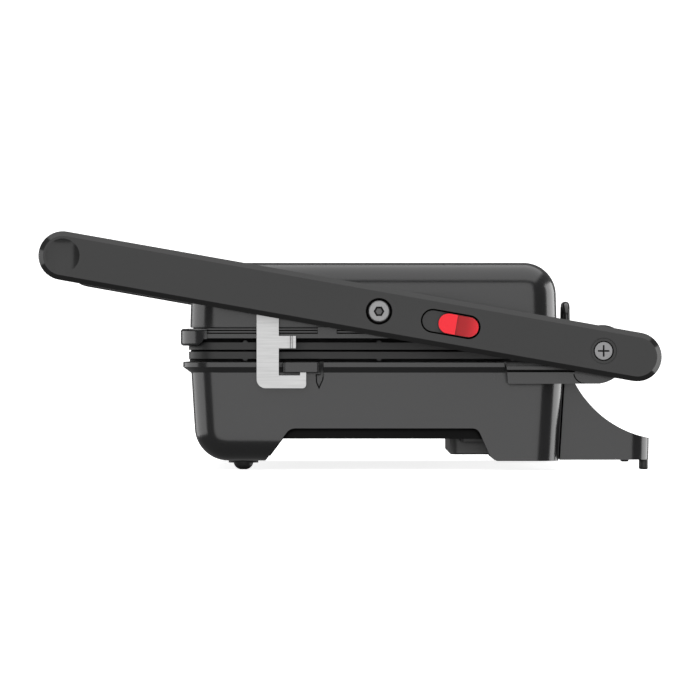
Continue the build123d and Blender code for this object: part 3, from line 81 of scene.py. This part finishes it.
def noise(tree, scale, detail, stretch=(1.0, 1.0, 1.0)):
    """A noise field over object space."""
    where = tree.nodes.new("ShaderNodeTexCoord")
    mapping = tree.nodes.new("ShaderNodeMapping")
    mapping.inputs["Scale"].default_value = stretch
    field = tree.nodes.new("ShaderNodeTexNoise")
    field.inputs["Scale"].default_value = scale
    field.inputs["Detail"].default_value = detail
    tree.links.new(where.outputs["Object"], mapping.inputs["Vector"])
    tree.links.new(mapping.outputs["Vector"], field.inputs["Vector"])
    return field.outputs["Fac"]


def ramp(tree, source, ends, dark, light):
    """Two colours along a field, between the two ends."""
    node = tree.nodes.new("ShaderNodeValToRGB")
    for stop, position, colour in zip(node.color_ramp.elements, ends, (dark, light)):
        stop.position = position
        stop.color = (*colour, 1.0)
    tree.links.new(source, node.inputs["Fac"])
    return node.outputs["Color"]


def remap(tree, source, was=(0.0, 1.0), now=(0.0, 1.0)):
    """A field moved from one range onto another."""
    node = tree.nodes.new("ShaderNodeMapRange")
    node.inputs["From Min"].default_value, node.inputs["From Max"].default_value = was
    node.inputs["To Min"].default_value, node.inputs["To Max"].default_value = now
    tree.links.new(source, node.inputs["Value"])
    return node.outputs["Result"]


def bump(tree, shader, source, distance):
    """Relief from a field, distance in metres."""
    node = tree.nodes.new("ShaderNodeBump")
    node.inputs["Distance"].default_value = distance
    tree.links.new(source, node.inputs["Height"])
    tree.links.new(node.outputs["Normal"], shader.inputs["Normal"])


def outwards(tree, low, high):
    """0 to 1 as the distance from the press's middle plane goes from low to high."""
    where = tree.nodes.new("ShaderNodeTexCoord")
    split = tree.nodes.new("ShaderNodeSeparateXYZ")
    distance = tree.nodes.new("ShaderNodeMath")
    distance.operation = "ABSOLUTE"
    tree.links.new(where.outputs["Object"], split.inputs["Vector"])
    tree.links.new(split.outputs["X"], distance.inputs[0])
    return remap(tree, distance.outputs["Value"], was=(low, high))


def times(tree, colour, shade):
    """One colour times another."""
    node = tree.nodes.new("ShaderNodeVectorMath")
    node.operation = "MULTIPLY"
    tree.links.new(colour, node.inputs[0])
    tree.links.new(shade, node.inputs[1])
    return node.outputs["Vector"]


def plus(tree, one, other):
    """The sum of two fields, kept between 0 and 1."""
    node = tree.nodes.new("ShaderNodeMath")
    node.use_clamp = True
    tree.links.new(one, node.inputs[0])
    tree.links.new(other, node.inputs[1])
    return node.outputs["Value"]


# ---- kinds of material ----------------------------------------------------------------------

CREASE_SAMPLES = 8
CREASE_REACH = 0.0035
CREASE_ENDS = (0.3, 0.8)      # openness from full painted shade to none
CREASE_SHADE_SHARE = 0.03            # of its colour that a crease keeps under the painted shade
CREASE_DULLNESS = 0.55         # what the crease mask adds to the roughness
GLOSS_SPREAD = 0.06
BRUSHED_SPREAD = 0.12
SCREW_SPREAD = 0.1
MOTTLE_ENDS = (0.35, 0.65)
SCRATCH_ENDS = (0.3, 0.7)
SCRATCH_DEPTH = 0.00001
SCREW_SCRATCHES = 900.0       # to the metre
SCREW_DEPTH = 0.000008
PAD_GRAIN = 3000
PAD_DEPTH = 0.000004
DISH_X = (0.1540, 0.1558)     # the thumb dish's bottom and the slider's pad, from the middle plane
DISH_ENDS = (0.1, 0.9)


def openness(tree):
    """0 deep in a crease to 1 on an open face."""
    node = tree.nodes.new("ShaderNodeAmbientOcclusion")
    node.samples = CREASE_SAMPLES
    node.inputs["Distance"].default_value = CREASE_REACH
    return node.outputs["AO"]


def moulded_plastic(name, colour, roughness, grain, depth, specular=0.5):
    """Moulded plastic: fine grain, slow variation of gloss, mottling, and creases made rougher and darkened
    in colour by ambient occlusion, a painted shade.
    """
    material, tree, shader = new_material(name, roughness, specular=specular)
    clear = openness(tree)
    # painted shade: colour darkened in creases and recesses by ambient occlusion
    crease_shade = ramp(tree, clear, CREASE_ENDS, grey(CREASE_SHADE_SHARE), grey(1.0))
    mottle = ramp(tree, noise(tree, 14.0, 4.0), MOTTLE_ENDS, shaded(colour, 0.92), shaded(colour, 1.08))
    tree.links.new(times(tree, mottle, crease_shade), shader.inputs["Base Color"])
    gloss = remap(tree, noise(tree, 45.0, 5.0), now=around(roughness, GLOSS_SPREAD))
    dull = remap(tree, clear, was=CREASE_ENDS, now=(CREASE_DULLNESS, 0.0))
    tree.links.new(plus(tree, gloss, dull), shader.inputs["Roughness"])
    bump(tree, shader, noise(tree, grain, 2.0), depth)
    return material


def metal(name, colour, roughness, stretch, grain=900.0):
    """Metal with fine scratches drawn out along one direction."""
    material, tree, shader = new_material(name, roughness, metallic=1.0)
    lines = noise(tree, grain, 4.0, stretch)
    scratches = ramp(tree, lines, SCRATCH_ENDS, shaded(colour, 0.82), colour)
    tree.links.new(scratches, shader.inputs["Base Color"])
    gloss = remap(tree, lines, now=around(roughness, BRUSHED_SPREAD))
    tree.links.new(gloss, shader.inputs["Roughness"])
    bump(tree, shader, lines, SCRATCH_DEPTH)
    return material


def screw_metal(name, colour, roughness, low, high, least):
    """A screw's metal, with painted shade darkening it from high down to low, where it keeps the least
    colour.
    """
    material, tree, shader = new_material(name, roughness, metallic=1.0)
    lines = noise(tree, SCREW_SCRATCHES, 4.0)
    scratches = ramp(tree, lines, SCRATCH_ENDS, shaded(colour, 0.85), colour)
    # painted shade: darker towards the middle plane, down into the recess and drive
    recess_shade = ramp(tree, outwards(tree, low, high), (0.0, 1.0), grey(least), grey(1.0))
    tree.links.new(times(tree, scratches, recess_shade), shader.inputs["Base Color"])
    gloss = remap(tree, lines, now=around(roughness, SCREW_SPREAD))
    tree.links.new(gloss, shader.inputs["Roughness"])
    bump(tree, shader, lines, SCREW_DEPTH)
    return material


def thumb_plastic(name, deep, proud, roughness, specular):
    """Slider plastic, with painted shade: a darker red at the bottom of the thumb dish."""
    material, tree, shader = new_material(name, roughness, specular=specular)
    # painted shade: the red darkens towards the dish's bottom, by distance from the middle plane
    colour = ramp(tree, outwards(tree, *DISH_X), DISH_ENDS, deep, proud)
    mottle = ramp(tree, noise(tree, 30.0, 4.0), MOTTLE_ENDS, grey(0.96), grey(1.0))
    tree.links.new(times(tree, colour, mottle), shader.inputs["Base Color"])
    bump(tree, shader, noise(tree, PAD_GRAIN, 2.0), PAD_DEPTH)
    return material


# ---- the press's materials ------------------------------------------------------------------

# slot: colour, roughness, grains to the metre, their depth, and the specular level if not 0.5
PLASTICS = {
    "body_plastic": ((0.012, 0.012, 0.0125), 0.2, 2500, 0.000004, 0.62),
    # cover_plastic: near-black, darker than the body, partly its own colour and partly painted shade for the
    # recess under the arch
    "cover_plastic": ((0.004, 0.004, 0.004), 0.7, 2500, 0.00001, 0.12),
    "arm_plastic": ((0.015, 0.015, 0.015), 0.16, 3200, 0.000003, 0.38),
    "grip_plastic": ((0.015, 0.015, 0.015), 0.45, 2600, 0.00003),
    "tray_plastic": ((0.05, 0.05, 0.05), 0.35, 2600, 0.00001),
    "grill_coating": ((0.016, 0.016, 0.016), 0.42, 1400, 0.00003, 0.36),
    "ceramic": ((0.62, 0.6, 0.54), 0.5, 1500, 0.00003),
    "bearing_plastic": ((0.45, 0.45, 0.43), 0.5, 1500, 0.00002),
    "rubber": ((0.012, 0.012, 0.012), 0.5, 1800, 0.00003),
    "conduit_sleeve": ((0.015, 0.015, 0.015), 0.14, 1500, 0.000003, 0.6),
    "lens": ((0.5, 0.05, 0.03), 0.15, 1500, 0.000004),
    "circuit_board": ((0.02, 0.14, 0.06), 0.4, 1500, 0.00001),
}

# slot: colour, roughness, how dense the scratches are along X, Y and Z, and their scale if not 900
METALS = {
    "latch_steel": ((0.49, 0.49, 0.49), 0.34, (1, 0.35, 10), 160.0),
    "sheet_steel": ((0.6, 0.6, 0.6), 0.35, (1, 8, 1)),
    "bright_screws": ((0.4, 0.4, 0.41), 0.38, (1, 1, 1)),
    "dark_screws": ((0.24, 0.24, 0.245), 0.3, (1, 1, 1)),
    "element_sheath": ((0.2, 0.18, 0.16), 0.5, (1, 1, 1)),
}

materials = {name: moulded_plastic(name, *row) for name, row in PLASTICS.items()}
materials |= {name: metal(name, *row) for name, row in METALS.items()}
# the first red is the painted shade at the dish's bottom, the second the pad's own red
materials["red_plastic"] = thumb_plastic("red_plastic", (0.42, 0.003, 0.008), (0.93, 0.014, 0.03), 0.3, 0.24)

# the screws that show in the arms have painted shade in their recess and drive
own_materials = {
    "hinge_screws": screw_metal("hinge_screw_zinc", (0.245, 0.245, 0.248), 0.38, 0.1528, 0.15365, 0.12),
    "float_pivot_screws": screw_metal("float_screw_black", (0.25, 0.25, 0.253), 0.32, 0.1512, 0.1535, 0.3),
}

for part in frame["record"]["subparts"]:
    mesh = frame["nodes"][part["node"]].data
    mesh.materials.clear()
    mesh.materials.append(own_materials.get(part["node"], materials[part["material_slot"]]))


# ---- studio ---------------------------------------------------------------------------------

FLOOR_R = 4.0                 # the floor turns up into the backdrop here
FLOOR_RINGS = 10
FLOOR_GLOW = 0.85
COVE_R = 0.6
COVE_STEPS = 12
BACKDROP_TOP = 3.0
BACKDROP_GLOW = 1.0
SIDES = 96
PALE = (0.88, 0.9)
WORLD_STRENGTH = 0.2

# name, where it hangs, what it faces, size, radiance, and whether it shows in reflections
LIGHTS = [
    ("front_box", (3.3, 0.0, 0.55), (0.0, 0.0, 0.55), (3.5, 4.1), 1.4, True),
    ("top_box", (0.0, 0.0, 2.6), (0.0, 0.0, 0.0), (4.6, 4.6), 1.5, True),
    ("left_box", (-0.5, -2.0, 0.0), (-0.5, 0.0, 0.0), (3.2, 1.2), 1.9, True),
    ("right_box", (-0.9, 2.2, -0.3), (-0.9, 0.0, -0.3), (2.5, 2.8), 3.5, True),
    ("fill_box", (2.6, -0.6, 1.2), (0.1, 0.0, 0.05), (2.0, 2.0), 2.2, False),
]


def area_light(name, where, target, size, radiance, in_gloss):
    """A soft box at where, facing target. One that isn't in gloss only fills, like a bounced light."""
    data = bpy.data.lights.new(name, "AREA")
    data.shape = "RECTANGLE"
    data.size, data.size_y = size
    data.energy = radiance * math.pi * size[0] * size[1]
    light = bpy.data.objects.new(name, data)
    light.location = where
    light.rotation_euler = (Vector(target) - Vector(where)).to_track_quat("-Z", "Y").to_euler()
    light.visible_camera = False
    light.visible_glossy = in_gloss
    bpy.context.scene.collection.objects.link(light)


def turned(name, profile, glow, closed=False):
    """A pale surface turned about Z from (radius, height) points, and closed inside the first if asked."""
    points = []
    for i in range(SIDES):
        angle = 2 * math.pi * i / SIDES
        points += [(r * math.cos(angle), r * math.sin(angle), z) for r, z in profile]
    n = len(profile)
    faces = []
    for i in range(SIDES):
        here, after = n * i, n * ((i + 1) % SIDES)
        faces += [(here + k, after + k, after + k + 1, here + k + 1) for k in range(n - 1)]
    if closed:
        faces.append([n * i for i in reversed(range(SIDES))])
    mesh = bpy.data.meshes.new(name)
    mesh.from_pydata(points, [], faces)
    mesh.update()
    for face in mesh.polygons:
        face.use_smooth = True
    surface = bpy.data.objects.new(name, mesh)
    bpy.context.scene.collection.objects.link(surface)
    material, tree, shader = new_material(name, 0.9, specular=0.1)
    shade = ramp(tree, noise(tree, 3.0, 3.0), SCRATCH_ENDS, *map(grey, PALE))
    tree.links.new(shade, shader.inputs["Base Color"])
    shader.inputs["Emission Color"].default_value = (1.0, 1.0, 1.0, 1.0)
    shader.inputs["Emission Strength"].default_value = glow
    mesh.materials.append(material)
    surface.visible_glossy = False
    surface.visible_diffuse = False


floor = [(FLOOR_R * i / FLOOR_RINGS, 0.0) for i in range(1, FLOOR_RINGS + 1)]
cove_angles = [math.pi / 2 * i / COVE_STEPS for i in range(COVE_STEPS + 1)]
cove = [(FLOOR_R + COVE_R * math.sin(a), COVE_R * (1 - math.cos(a))) for a in cove_angles]
turned("floor", floor, FLOOR_GLOW, closed=True)
turned("backdrop", [*cove, (FLOOR_R + COVE_R, BACKDROP_TOP)], BACKDROP_GLOW)

world = bpy.data.worlds.new("studio")
bpy.context.scene.world = world
world.use_nodes = True
background = world.node_tree.nodes["Background"]
background.inputs["Color"].default_value = (1.0, 1.0, 1.0, 1.0)
background.inputs["Strength"].default_value = WORLD_STRENGTH

for row in LIGHTS:
    area_light(*row)
